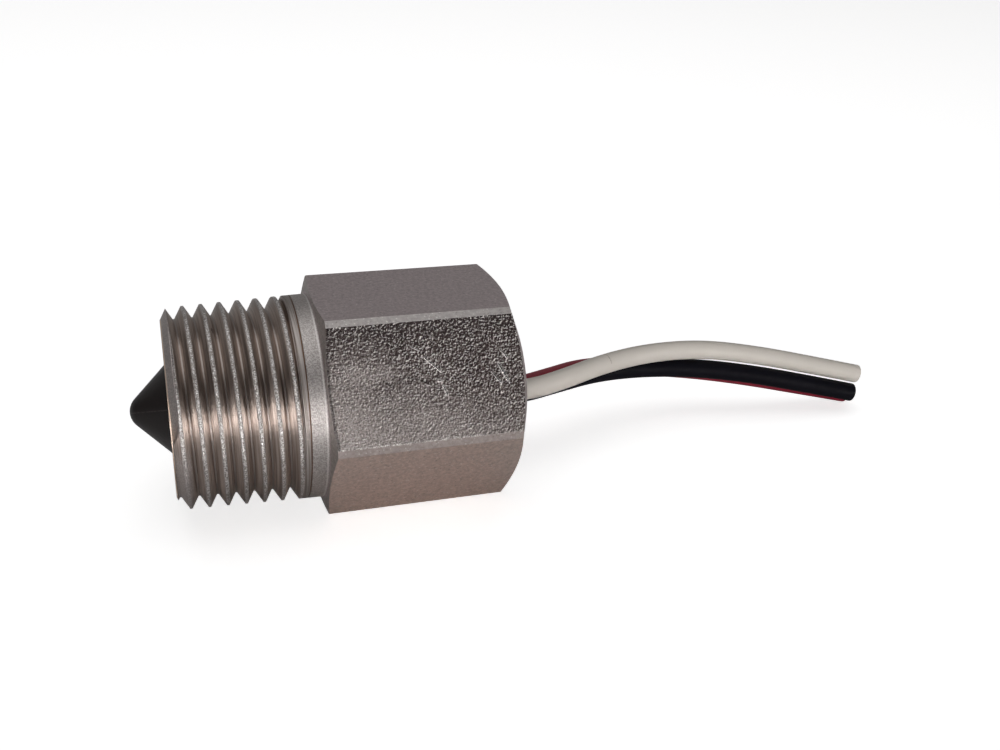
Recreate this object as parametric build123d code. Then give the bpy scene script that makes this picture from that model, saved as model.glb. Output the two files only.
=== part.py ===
from build123d import *
import math
import os

# Electro-optic level sensor, lying on one flat of its hexagon, in millimetres.
# The sensor's axis runs along X, tip towards -X and leads towards +X.
# Each piece is modelled about that axis with X = 0 at the hexagon's front shoulder.

# Hexagon
hex_across_flats = 22.225
hex_length = 21.0
hex_edge_bevel = 0.5
shoulder_cone_angle = 13.5
rear_face_radius = 8.2
rear_cone_angle = 22.0

# Tapered pipe thread, half inch, 14 turns to the inch
thread_length = 14.6
thread_pitch = 25.4 / 14
thread_taper = 1 / 32
pitch_line_radius = 9.632
crest_height = 0.59
root_depth = 0.65
flank_angle = 30.0
start_chamfer_angle = 61.5
thread_start_angle = 248.0
lead_in_turns = 0.5
runout_turns = 0.5
groove_overrun = 0.12
neck_length = 2.35
neck_into_hexagon = 0.5
neck_line_offset = 0.55
neck_line_width = 0.14
neck_line_depth = 0.07
cut_overrun = 1.0

# Bores, front to rear
stem_bore_radius = 4.6
stem_bore_length = 3.0
flange_bore_radius = 6.2
board_bore_radius = 7.0
bore_mouth_chamfer = 0.3

# Prism
tip_reach = 3.7
tip_nose_radius = 1.9
tip_half_angle = 45.0
stem_clearance = 0.1
flange_clearance = 0.1
flange_thickness = 1.5
seal_seat_length = 1.7
seal_section_radius = 0.8

# Optical devices and their holder
holder_length = 4.5
device_radius = 1.5
device_spacing = 4.2
device_hole_clearance = 0.05
device_setback = 0.25
device_rim_radius = 1.9
device_rim_thickness = 1.0
pin_size = 0.5
pin_overlap_on_board = 3.0
board_gap_to_device = 0.4

# Circuit board, its parts and the sleeve
sleeve_wall = 0.5
sleeve_clearance = 0.1
holder_to_sleeve_gap = 0.9
board_length = 17.0
board_thickness = 1.6
board_edge_clearance = 0.1

# Parts on the board: (length, width, height), and their stations from the board's front
comparator_size = (4.9, 3.9, 1.5)
comparator_pin_pitch = 1.27
comparator_pin_reach = 1.05
comparator_station = 6.6
transistor_size = (2.9, 1.3, 1.0)
transistor_pin_pitch = 1.9
transistor_place = (11.4, 3.2)
diode_size = (2.8, 1.6, 1.1)
diode_station = 10.6
small_pin_reach = 0.55
package_standoff = 0.1
pin_gauge = 0.2
pin_width = 0.4
pin_bends = (0.25, 0.4, 0.55)
resistor_size = (2.0, 1.25, 0.5)
filter_capacitor_size = (2.0, 1.25, 1.0)
filter_capacitor_station = 11.4
supply_capacitor_size = (3.2, 1.6, 1.5)
supply_capacitor_place = (11.1, -3.0)
chip_cap_length = 0.35
chip_cap_thickness = 0.04
resistor_stations = (5.0, 8.4)
resistor_offset = 3.2

# Potting and leads
potting_recess = 1.4
board_in_potting = 2.3
sleeve_in_potting = 1.8
lead_diameter = 2.3
conductor_diameter = 0.76
solder_length = 1.8
solder_width = 1.5
solder_height = 1.1
solder_edge_round = 0.37
pad_spacing = 2.6
conductor_bite = 1.2
arc_share = 0.45

# Points of each lead behind the potting: along the axis from the shoulder, sideways, above the axis
white_route = [
    (23.8, -1.0, -1.5),
    (28.5, 0.5, -1.4),
    (34.6, 3.1, -1.25),
    (41.3, 4.95, -1.4),
    (48.75, 6.05, -2.15),
    (55.95, 5.3, -3.3),
    (63.3, 4.45, -4.95),
    (70.35, 3.55, -6.6),
]
black_route = [
    (23.6, 1.0, -2.95),
    (27.9, 2.35, -2.95),
    (34.1, 4.55, -3.15),
    (41.0, 5.65, -3.75),
    (48.45, 5.6, -4.55),
    (55.45, 4.3, -5.5),
    (62.6, 3.35, -7.05),
    (69.35, 2.5, -8.65),
]
red_route = [
    (23.7, 3.4, -3.45),
    (27.9, 4.72, -3.42),
    (33.7, 7.06, -3.63),
    (40.7, 8.08, -4.7),
    (48.35, 7.88, -5.83),
    (55.65, 6.45, -6.85),
    (63.1, 5.45, -8.45),
    (69.95, 4.6, -9.94),
]

# Values worked out from the sizes above
axis_height = hex_across_flats / 2
overall_length = tip_reach + thread_length + hex_length
shoulder_x = tip_reach + thread_length - overall_length / 2
face_x = -thread_length
rear_x = hex_length
crest_radius_at_face = pitch_line_radius + crest_height
root_radius_at_face = pitch_line_radius - root_depth
neck_radius = crest_radius_at_face + thread_taper * thread_length
seal_seat_x = face_x + stem_bore_length
flange_front_x = seal_seat_x + seal_seat_length
prism_back_x = flange_front_x + flange_thickness
flange_radius = flange_bore_radius - flange_clearance
stem_radius = stem_bore_radius - stem_clearance
holder_back_x = prism_back_x + holder_length
device_back_x = holder_back_x + device_rim_thickness
board_front_x = device_back_x + board_gap_to_device
board_back_x = board_front_x + board_length
board_bore_front_x = holder_back_x + holder_to_sleeve_gap
sleeve_outer_radius = board_bore_radius - sleeve_clearance
sleeve_inner_radius = sleeve_outer_radius - sleeve_wall
board_half_width = math.sqrt((sleeve_inner_radius - board_edge_clearance) ** 2 - (board_thickness / 2) ** 2)
potting_back_x = rear_x - potting_recess
potting_front_x = board_back_x - board_in_potting
sleeve_back_x = potting_front_x + sleeve_in_potting
lead_routes = {"white": white_route, "black": black_route, "red": red_route}
pad_offsets = {"white": -pad_spacing, "black": 0.0, "red": pad_spacing}


def turned(points):
    """Solid of revolution about the axis from (station, radius) corners of a closed outline."""
    outline = Polyline(*[(x, 0, r) for x, r in points], close=True)
    return revolve(make_face(outline), Axis.X, 360)


def rod(start, end, radius):
    """Round bar between two points."""
    run = Vector(*end) - Vector(*start)
    plane = Plane(origin=start, z_dir=run)
    return extrude(plane * Circle(radius), run.length)


def block(front_x, length, centre_y, width, bottom_z, height):
    """Rectangular block given by its front, its middle and its underside."""
    return Pos(front_x + length / 2, centre_y, bottom_z + height / 2) * Box(length, width, height)


def hexagon_bar():
    """Hexagonal bar with bevelled long edges, cut by the cones of its two turned ends."""
    flats = RegularPolygon(hex_across_flats / 2, 6, major_radius=False)
    section = chamfer(flats.vertices(), hex_edge_bevel)
    bar = extrude(Plane.YZ * section, hex_length)
    corner = hex_across_flats
    front_rise = (corner - neck_radius) * math.tan(math.radians(shoulder_cone_angle))
    rear_fall = (corner - rear_face_radius) * math.tan(math.radians(rear_cone_angle))
    envelope = turned(
        [(0, 0), (0, neck_radius), (front_rise, corner), (rear_x - rear_fall, corner),
         (rear_x, rear_face_radius), (rear_x, 0)]
    )
    return bar & envelope


def thread_groove():
    """Groove of the tapered thread, with a run-out that climbs out of the blank at the neck."""
    cone = math.degrees(math.atan(thread_taper))
    lead_in = lead_in_turns * thread_pitch
    runout_length = runout_turns * thread_pitch
    full_length = lead_in + thread_length - neck_length - runout_length
    start_radius = pitch_line_radius - thread_taper * lead_in
    main = Helix(thread_pitch, full_length, start_radius, cone_angle=cone)
    end_radius = start_radius + thread_taper * full_length
    runout_cone = math.degrees(math.atan((crest_height + root_depth) / runout_length))
    runout = Helix(thread_pitch, runout_length, end_radius, cone_angle=runout_cone)
    grooves = []
    for path in (main, runout):
        plane = Plane(origin=path @ 0, x_dir=Vector((path @ 0).X, (path @ 0).Y, 0), z_dir=path % 0)
        grooves.append(sweep(plane * groove_section(), path=path, is_frenet=True))
    turn_to_runout = 360 * (full_length / thread_pitch % 1)
    placed_runout = Pos(0, 0, full_length) * Rot(0, 0, turn_to_runout) * grooves[1]
    along_x = Location(Plane(origin=(face_x - lead_in, 0, 0), x_dir=(0, 0, 1), z_dir=(1, 0, 0)))
    along_x = along_x * Rot(0, 0, thread_start_angle)
    return [along_x * grooves[0], along_x * placed_runout]


def ring(width, inner_radius, outer_radius):
    """Plain ring about the axis, with its front at the origin."""
    return turned([(0, inner_radius), (0, outer_radius), (width, outer_radius), (width, inner_radius)])


def groove_section():
    """Cut section of one groove, its pitch line at X = 0 and its depth towards -X."""
    slope = math.tan(math.radians(flank_angle))
    outer = crest_height + groove_overrun
    half_root = thread_pitch / 4 - root_depth * slope
    half_outer = thread_pitch / 4 + outer * slope
    corners = [(-root_depth, -half_root), (outer, -half_outer), (outer, half_outer), (-root_depth, half_root)]
    return make_face(Polyline(*corners, close=True))


def housing():
    """One-piece steel body: threaded nose, neck, hexagon and the stepped bore."""
    chamfer_run = (crest_radius_at_face - root_radius_at_face) / math.tan(math.radians(start_chamfer_angle))
    blank = turned(
        [(face_x, 0), (face_x, root_radius_at_face),
         (face_x + chamfer_run, crest_radius_at_face + thread_taper * chamfer_run),
         (-neck_length, neck_radius - thread_taper * neck_length), (neck_into_hexagon, neck_radius),
         (neck_into_hexagon, 0)]
    )
    for groove in thread_groove():
        blank -= groove
    line_x = neck_line_offset - neck_length
    line_floor = neck_radius - thread_taper * neck_length - neck_line_depth
    blank -= Pos(line_x, 0, 0) * ring(neck_line_width, line_floor, neck_radius + cut_overrun)
    body = blank + hexagon_bar()
    bore = turned(
        [(face_x - cut_overrun, 0), (face_x - cut_overrun, stem_bore_radius), (seal_seat_x, stem_bore_radius),
         (seal_seat_x, flange_bore_radius), (board_bore_front_x, flange_bore_radius),
         (board_bore_front_x, board_bore_radius), (rear_x - bore_mouth_chamfer, board_bore_radius),
         (rear_x, board_bore_radius + bore_mouth_chamfer),
         (rear_x + cut_overrun, board_bore_radius + bore_mouth_chamfer), (rear_x + cut_overrun, 0)]
    )
    return body - bore


def sensing_prism():
    """Cone with a rounded nose, its stem and the flange that carries it."""
    half_angle = math.radians(tip_half_angle)
    nose_x = face_x - tip_reach
    nose_centre_x = nose_x + tip_nose_radius
    apex_x = nose_centre_x - tip_nose_radius / math.sin(half_angle)
    base_x = apex_x + stem_radius / math.tan(half_angle)
    middle_angle = (math.pi / 2 - half_angle) / 2
    touch = (
        nose_centre_x - tip_nose_radius * math.sin(half_angle),
        0,
        tip_nose_radius * math.cos(half_angle),
    )
    middle = (
        nose_centre_x - tip_nose_radius * math.cos(middle_angle),
        0,
        tip_nose_radius * math.sin(middle_angle),
    )
    nose = ThreePointArc((nose_x, 0, 0), middle, touch)
    sides = Polyline(
        touch, (base_x, 0, stem_radius), (flange_front_x, 0, stem_radius),
        (flange_front_x, 0, flange_radius), (prism_back_x, 0, flange_radius),
        (prism_back_x, 0, 0), (nose_x, 0, 0),
    )
    return revolve(make_face([nose, *sides.edges()]), Axis.X, 360)


def prism_o_ring():
    """Seal between the stem, the flange and the bore."""
    ring_radius = (stem_radius + flange_bore_radius) / 2
    middle_x = (seal_seat_x + flange_front_x) / 2
    return Pos(middle_x, 0, 0) * Rot(0, 90, 0) * Torus(ring_radius, seal_section_radius)


def optics_holder():
    """Carrier with one hole for each optical device and a wall between them."""
    body = turned(
        [(prism_back_x, 0), (prism_back_x, flange_radius), (holder_back_x, flange_radius), (holder_back_x, 0)]
    )
    hole_radius = device_radius + device_hole_clearance
    for side in (-1, 1):
        y = side * device_spacing / 2
        body -= rod((prism_back_x - cut_overrun, y, 0), (holder_back_x + cut_overrun, y, 0), hole_radius)
    return body


def optical_device(side):
    """Round moulded device with a domed end, a rim behind the holder and two pins astride the board."""
    tip_x = prism_back_x + device_setback
    profile = Polyline(
        (tip_x + device_radius, 0, device_radius), (holder_back_x, 0, device_radius),
        (holder_back_x, 0, device_rim_radius), (device_back_x, 0, device_rim_radius),
        (device_back_x, 0, 0), (tip_x, 0, 0),
    )
    rise = device_radius * math.sqrt(0.5)
    dome = ThreePointArc(
        (tip_x, 0, 0), (tip_x + device_radius - rise, 0, rise), (tip_x + device_radius, 0, device_radius)
    )
    body = revolve(make_face([dome, *profile.edges()]), Axis.X, 360)
    pin_length = board_front_x + pin_overlap_on_board - device_back_x
    for level in (-1, 1):
        bottom_z = level * (board_thickness + pin_size) / 2 - pin_size / 2
        body += block(device_back_x, pin_length, 0, pin_size, bottom_z, pin_size)
    return Pos(0, side * device_spacing / 2, 0) * body


def circuit_board():
    """Board that rests by its long edges in the sleeve."""
    return block(board_front_x, board_length, 0, 2 * board_half_width, -board_thickness / 2, board_thickness)


def on_board(shape, station, y, top=True):
    """Place a shape made above Z = 0 on one face of the board, measured from the board's front."""
    if top:
        return Pos(board_front_x + station, y, board_thickness / 2) * shape
    return Pos(board_front_x + station, y, -board_thickness / 2) * Rot(180, 0, 0) * shape


def package_pin(reach, height):
    """Bent pin that leaves a package sideways and stands on its pad."""
    inner, middle, outer = [reach * share for share in pin_bends]
    line = [
        (0, height), (middle, height), (outer, pin_gauge), (reach, pin_gauge), (reach, 0),
        (middle, 0), (inner, height - pin_gauge), (0, height - pin_gauge),
    ]
    return extrude(Plane.YZ * make_face(Polyline(*line, close=True)), pin_width / 2, both=True)


def leaded_package(size, pins_right, pins_left, pitch, reach):
    """Moulded package with bent pins on both sides."""
    length, width, height = size
    body = block(-length / 2, length, 0, width, package_standoff, height)
    pin_height = package_standoff + height / 2
    for pins, turn in ((pins_right, 0), (pins_left, 180)):
        for index in range(pins):
            x = (index - (pins - 1) / 2) * pitch
            body += Rot(0, 0, turn) * Pos(x, width / 2, 0) * package_pin(reach, pin_height)
    return body


def chip_component(size):
    """Ceramic chip with a slightly thicker cap on each end."""
    length, width, height = size
    skin = chip_cap_thickness
    body = block(-length / 2, length, 0, width - 2 * skin, skin, height - 2 * skin)
    for front_x in (-length / 2, length / 2 - chip_cap_length):
        body += block(front_x, chip_cap_length, 0, width, 0, height)
    return body


def board_parts():
    """Devices soldered to the board, by name."""
    comparator = leaded_package(comparator_size, 4, 4, comparator_pin_pitch, comparator_pin_reach)
    transistor = leaded_package(transistor_size, 1, 2, transistor_pin_pitch, small_pin_reach)
    diode = leaded_package(diode_size, 1, 1, 0, small_pin_reach)
    parts = {
        "comparator_chip": on_board(comparator, comparator_station, 0),
        "output_transistor": on_board(transistor, *transistor_place),
        "protection_diode": on_board(diode, diode_station, 0, top=False),
        "supply_capacitor": on_board(chip_component(supply_capacitor_size), *supply_capacitor_place),
        "filter_capacitor": on_board(chip_component(filter_capacitor_size), filter_capacitor_station, 0),
    }
    resistors = [("emitter", 0, -1), ("collector", 0, 1), ("reference", 1, -1), ("pull_up", 1, 1)]
    for use, row, side in resistors:
        resistor = chip_component(resistor_size)
        parts[use + "_resistor"] = on_board(resistor, resistor_stations[row], side * resistor_offset, top=False)
    return parts


def conductor(colour):
    """Stripped tail of a lead, from its pad to the end of the insulation."""
    _, y, z = lead_routes[colour][0]
    pad_z = -(board_thickness + solder_height) / 2
    solder_back_x = board_back_x - conductor_bite / 2
    start = Vector(solder_back_x - conductor_bite, pad_offsets[colour], pad_z)
    end = Vector(potting_back_x, y, z)
    beyond = end + (end - start).normalized() * conductor_diameter
    bar = rod(tuple(start), tuple(beyond), conductor_diameter / 2)
    trim = 4 * conductor_diameter
    return bar - block(potting_back_x, trim, y, trim, z - trim / 2, trim)


def solder_joint(colour, tail):
    """Rounded joint on the underside of the board, fitted round the stripped tail."""
    front_x = board_back_x - conductor_bite / 2 - solder_length
    bottom_z = -board_thickness / 2 - solder_height
    joint = block(front_x, solder_length, pad_offsets[colour], solder_width, bottom_z, solder_height)
    lower_edges = joint.faces().sort_by(Axis.Z)[0].edges()
    joint = fillet(lower_edges, solder_edge_round)
    return joint - tail


def insulating_sleeve():
    """Thin tube between the board and the steel."""
    return turned(
        [(board_bore_front_x, sleeve_inner_radius), (board_bore_front_x, sleeve_outer_radius),
         (sleeve_back_x, sleeve_outer_radius), (sleeve_back_x, sleeve_inner_radius)]
    )


def potting(embedded):
    """Resin plug that closes the rear bore and grips the board, the joints and the tails."""
    plug = turned(
        [(potting_front_x, 0), (potting_front_x, sleeve_inner_radius), (sleeve_back_x, sleeve_inner_radius),
         (sleeve_back_x, board_bore_radius), (potting_back_x, board_bore_radius), (potting_back_x, 0)]
    )
    for piece in embedded:
        plug -= piece
    return plug


def lead(colour):
    """Insulated lead as a plain tube: straight runs joined by arcs as large as the runs allow."""
    points = [Vector(potting_back_x, *lead_routes[colour][0][1:])]
    points += [Vector(*point) for point in lead_routes[colour]]
    runs = [after - before for before, after in zip(points, points[1:])]
    radii = []
    for before, after in zip(runs, runs[1:]):
        half_turn = math.radians(before.get_angle(after)) / 2
        radii.append(arc_share * min(before.length, after.length) / math.tan(half_turn))
    path = FilletPolyline(*points, radius=radii)
    start = Plane(origin=points[0], z_dir=runs[0])
    tube = sweep(start * Circle(lead_diameter / 2), path=path)
    section = math.pi * lead_diameter ** 2 / 4
    print(colour, "radii", [round(r, 1) for r in radii], "length", round(path.length, 2),
          "volume over section times length", round(tube.volume / (section * path.length), 4))
    return tube


def sensor_nodes():
    """All pieces by name, about the sensor's own axis."""
    nodes = {
        "housing": housing(),
        "sensing_prism": sensing_prism(),
        "prism_o_ring": prism_o_ring(),
        "optics_holder": optics_holder(),
        "infrared_emitter": optical_device(-1),
        "phototransistor": optical_device(1),
        "circuit_board": circuit_board(),
        "insulating_sleeve": insulating_sleeve(),
    }
    nodes.update(board_parts())
    embedded = [nodes["circuit_board"]]
    for colour in lead_routes:
        tail = conductor(colour)
        joint = solder_joint(colour, tail)
        nodes[colour + "_conductor"] = tail
        nodes[colour + "_solder"] = joint
        nodes[colour + "_lead"] = lead(colour)
        embedded += [tail, joint]
    nodes["potting"] = potting(embedded)
    return nodes


os.makedirs("parts", exist_ok=True)
for name, shape in sensor_nodes().items():
    export_step(Pos(shoulder_x, 0, axis_height) * shape, "parts/" + name + ".step")
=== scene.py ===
import logging
import math
from dataclasses import dataclass
from enum import Enum
from functools import reduce

import bpy
from mathutils import Matrix, Vector


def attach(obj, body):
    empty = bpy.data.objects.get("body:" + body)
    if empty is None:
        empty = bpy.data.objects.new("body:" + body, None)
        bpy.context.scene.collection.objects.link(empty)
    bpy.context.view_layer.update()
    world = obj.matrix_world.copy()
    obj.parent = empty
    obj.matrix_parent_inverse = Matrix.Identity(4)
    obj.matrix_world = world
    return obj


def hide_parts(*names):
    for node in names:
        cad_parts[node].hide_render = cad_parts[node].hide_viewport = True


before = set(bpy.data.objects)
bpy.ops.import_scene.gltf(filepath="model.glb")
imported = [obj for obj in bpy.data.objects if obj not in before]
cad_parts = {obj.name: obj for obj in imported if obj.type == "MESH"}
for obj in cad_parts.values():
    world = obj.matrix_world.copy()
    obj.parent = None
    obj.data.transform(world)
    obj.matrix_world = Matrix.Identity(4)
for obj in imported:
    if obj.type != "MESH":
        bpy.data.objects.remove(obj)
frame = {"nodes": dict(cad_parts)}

MM = 0.001
Colour = tuple[float, float, float]
Point = tuple[float, float, float]
Pair = tuple[float, float]
Band = tuple[float, float, float]
Ramp = tuple[float, ...]
Texture = tuple[float, ...]
Material = bpy.types.Material
Object = bpy.types.Object
Socket = bpy.types.NodeSocket
Value = float | Socket
Paint = Value | Colour

log = logging.getLogger("level_sensor")


class Seat(Enum):
    """Where a value enters a principled shader."""

    COLOUR = "Base Color"
    METAL = "Metallic"
    ROUGHNESS = "Roughness"
    NORMAL = "Normal"
    COAT = "Coat Weight"
    SPECULAR = "Specular IOR Level"


@dataclass(frozen=True)
class SensorPlan:
    """Sizes of the sensor that placing and colouring need, in millimetres."""

    shoulder_x: float = -1.35
    axis_height: float = 11.1125
    face_x: float = -14.6
    thread_pitch: float = 25.4 / 14
    crest_x: float = -13.24
    crest_angle: float = 247.5
    chamfer_angle: float = 61.5
    face_radius: float = 8.982
    neck_start: float = -2.35
    neck_line: float = -1.8
    neck_radius: float = 10.678
    shoulder_angle: float = 13.5
    potting_back_x: float = 19.6
    lead_diameter: float = 2.3

    def at(self, point: Point) -> Vector:
        """Point on the sensor's own axes in millimetres, as a place in the scene.

        Args:
            point: Station along the axis from the shoulder, sideways, above the axis.

        Returns:
            The same place in the scene's frame, in metres.
        """
        x, y, z = point
        return Vector((x + self.shoulder_x, y, z + self.axis_height)) * MM


class NodeSteps:
    """Small steps that build up a node tree."""

    def __init__(self, tree: bpy.types.NodeTree) -> None:
        """Take the node tree of a material or a world, and empty it."""
        self.tree = tree
        self.tree.nodes.clear()

    def node(self, kind: str) -> bpy.types.Node:
        """New node of one kind."""
        return self.tree.nodes.new(kind)

    def join(self, source: Socket, target: Socket) -> None:
        """Link two sockets."""
        self.tree.links.new(source, target)

    def feed(self, target: Socket, value: Paint) -> None:
        """Set a socket to a constant or link it.

        Args:
            target: Input socket.
            value: Number, colour or output socket.
        """
        if isinstance(value, Socket):
            self.join(value, target)
        elif isinstance(value, tuple) and len(target.default_value) == 4:
            target.default_value = (*value, 1.0)
        else:
            target.default_value = value

    def fill(self, node: bpy.types.Node, feeds: dict[int | str, Paint | Vector]) -> None:
        """Feed several inputs of a node, by number or name."""
        for key, value in feeds.items():
            self.feed(node.inputs[key], value)

    def maths(self, operation: str, a: Value, b: Value = 0.0, clamp: bool = False) -> Socket:
        """One math node.

        Args:
            operation: Name of the operation.
            a: First value.
            b: Second value.
            clamp: Whether the result stays between 0 and 1.

        Returns:
            The result's socket.
        """
        node = self.node("ShaderNodeMath")
        node.operation = operation
        node.use_clamp = clamp
        self.fill(node, {0: a, 1: b})
        return node.outputs[0]

    def chain(self, operation: str, values: tuple[Value, ...]) -> Socket:
        """One operation on several values, from the first to the last."""
        return reduce(lambda first, last: self.maths(operation, first, last), values)

    def times(self, *values: Value) -> Socket:
        """Product of several values."""
        return self.chain("MULTIPLY", values)

    def plus(self, *values: Value) -> Socket:
        """Sum of several values."""
        return self.chain("ADD", values)

    def largest(self, *values: Value) -> Socket:
        """Largest of several values."""
        return self.chain("MAXIMUM", values)

    def minus(self, first: Value, last: Value, clamp: bool = False) -> Socket:
        """Difference of two values."""
        return self.maths("SUBTRACT", first, last, clamp)

    def band(self, value: Value, low: float, high: float, soft: float) -> Socket:
        """Mask that is 1 between two limits, with soft shoulders outside them.

        Args:
            value: Socket that is tested.
            low: Lower limit.
            high: Upper limit.
            soft: Width of each shoulder.

        Returns:
            The mask's socket.
        """
        rise = self.step(value, low - soft, low)
        fall = self.step(value, high, high + soft)
        return self.times(rise, self.minus(1.0, fall))

    def step(self, value: Value, low: float, high: float, first: float = 0.0, last: float = 1.0) -> Socket:
        """Smooth step from one value to another.

        Args:
            value: Socket that is tested.
            low: Where the step starts.
            high: Where it ends.
            first: Result below low.
            last: Result above high.

        Returns:
            The step's socket.
        """
        node = self.node("ShaderNodeMapRange")
        node.interpolation_type = "SMOOTHSTEP"
        self.fill(node, {"Value": value, "From Min": low, "From Max": high, "To Min": first, "To Max": last})
        return node.outputs[0]

    def place(self, source: Socket, move: Point, scale: Point = (1, 1, 1)) -> Socket:
        """Coordinates scaled and moved.

        Args:
            source: Coordinates.
            move: Distance added last.
            scale: Factor along each axis.

        Returns:
            The new coordinates' socket.
        """
        node = self.node("ShaderNodeMapping")
        self.fill(node, {"Vector": source, "Location": move, "Scale": scale})
        return node.outputs[0]

    def seen_from(self, source: Socket, origin: Point, turn: float) -> Socket:
        """Coordinates measured from a point, along a direction in the first two axes.

        Args:
            source: Coordinates.
            origin: Point that becomes the origin.
            turn: Direction of the new first axis in degrees.

        Returns:
            The new coordinates' socket.
        """
        node = self.node("ShaderNodeMapping")
        node.vector_type = "TEXTURE"
        self.fill(node, {"Vector": source, "Location": origin, "Rotation": (0, 0, math.radians(turn))})
        return node.outputs[0]

    def split(self, source: Socket) -> tuple[Socket, ...]:
        """The three parts of a vector."""
        node = self.node("ShaderNodeSeparateXYZ")
        self.join(source, node.inputs[0])
        return tuple(node.outputs)

    def distance(self, source: Socket, place: Vector) -> Socket:
        """Distance of coordinates from a point."""
        node = self.node("ShaderNodeVectorMath")
        node.operation = "DISTANCE"
        self.fill(node, {0: source, 1: place})
        return node.outputs["Value"]

    def gather(self, x: Value, y: Value) -> Socket:
        """A vector from two numbers."""
        node = self.node("ShaderNodeCombineXYZ")
        self.fill(node, {0: x, 1: y})
        return node.outputs[0]

    def noise(self, source: Socket, scale: float, detail: float = 2.0, roughness: float = 0.5,
              distortion: float = 0.0) -> Socket:
        """Noise between 0 and 1.

        Args:
            source: Coordinates.
            scale: Number of features for each unit.
            detail: Octaves.
            roughness: Weight of the finer octaves.
            distortion: Warp of the pattern.

        Returns:
            The noise's socket.
        """
        node = self.node("ShaderNodeTexNoise")
        self.fill(node, {"Vector": source, "Scale": scale, "Detail": detail, "Roughness": roughness,
                         "Distortion": distortion})
        return node.outputs["Fac"]

    def tint(self, factor: Value, first: Paint, last: Paint, way: str = "MIX") -> Socket:
        """Mix of two colours.

        Args:
            factor: Share of the second colour.
            first: First colour.
            last: Second colour.
            way: Blend type.

        Returns:
            The mixed colour's socket.
        """
        node = self.node("ShaderNodeMix")
        node.data_type = "RGBA"
        node.blend_type = way
        self.fill(node, {0: factor, 6: first, 7: last})
        return node.outputs[2]

    def blend_grey(self, factor: Value, first: float, last: float) -> Socket:
        """Mix of two greys."""
        return self.tint(factor, (first,) * 3, (last,) * 3)

    def blend(self, factor: Value, first: Value, last: Value) -> Socket:
        """Mix of two numbers."""
        node = self.node("ShaderNodeMix")
        self.fill(node, {0: factor, 2: first, 3: last})
        return node.outputs[0]

    def relief(self, height: Socket, depth: float, under: Socket | None = None) -> Socket:
        """Bumped normal.

        Args:
            height: Height between 0 and 1.
            depth: Real height of 1, in millimetres.
            under: Normal that the relief lies on.

        Returns:
            The normal's socket.
        """
        node = self.node("ShaderNodeBump")
        self.fill(node, {"Distance": depth * MM, "Height": height})
        if under is not None:
            self.join(under, node.inputs["Normal"])
        return node.outputs[0]


class Mixture(NodeSteps):
    """Node tree of one material, round a principled shader."""

    def __init__(self, name: str) -> None:
        """Start a named material that holds only its shader."""
        self.material = bpy.data.materials.new(name)
        self.material.use_nodes = True
        super().__init__(self.material.node_tree)
        self.output = self.node("ShaderNodeOutputMaterial")
        self.shader = self.node("ShaderNodeBsdfPrincipled")
        self.join(self.shader.outputs[0], self.output.inputs["Surface"])
        self.coordinates = self.node("ShaderNodeTexCoord")

    def set(self, seat: Seat, value: Paint) -> None:
        """Give the shader one of its values."""
        self.feed(self.shader.inputs[seat.value], value)


@dataclass(frozen=True)
class Mark:
    """Scratch, dent or stain on a flat, in millimetres of that flat."""

    x: float
    s: float
    angle: float
    length: float
    width: float

    def mask(self, mix: Mixture, flat: Socket) -> Socket:
        """Mask that is 1 along the middle of the mark.

        Args:
            mix: Material that shows the mark.
            flat: Coordinates on the flat.

        Returns:
            The mask's socket.
        """
        along, across, _ = mix.split(mix.seen_from(flat, (self.x, self.s, 0), self.angle))
        half = self.length / 2
        inside = mix.step(mix.maths("ABSOLUTE", along), half + self.width, half - self.width)
        return mix.times(inside, mix.step(mix.maths("ABSOLUTE", across), self.width, 0.0))


@dataclass(frozen=True)
class Seam:
    """Thin line where a plane cuts the surface, shown near one place."""

    place: Vector
    normal: Point
    half_width: float
    reach: float
    colour: Colour
    full_within: float = 0.7
    crumbs: Texture = (5000.0, 1.0)
    gaps: Ramp = (0.35, 0.65, 0.3, 1.0)

    def mask(self, mix: Mixture) -> Socket:
        """Mask that is strongest along the line, broken by fine noise.

        Args:
            mix: Material that shows the line.

        Returns:
            The mask's socket.
        """
        local = mix.coordinates.outputs["Object"]
        shares = [
            mix.times(mix.minus(part, middle), share)
            for part, middle, share in zip(mix.split(local), self.place, self.normal)
        ]
        off_plane = mix.maths("ABSOLUTE", mix.plus(*shares))
        away = mix.distance(local, self.place)
        return mix.times(mix.step(off_plane, self.half_width * MM, 0.0),
                         mix.step(away, self.reach * MM, self.full_within * self.reach * MM),
                         mix.step(mix.noise(local, *self.crumbs), *self.gaps))


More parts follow.
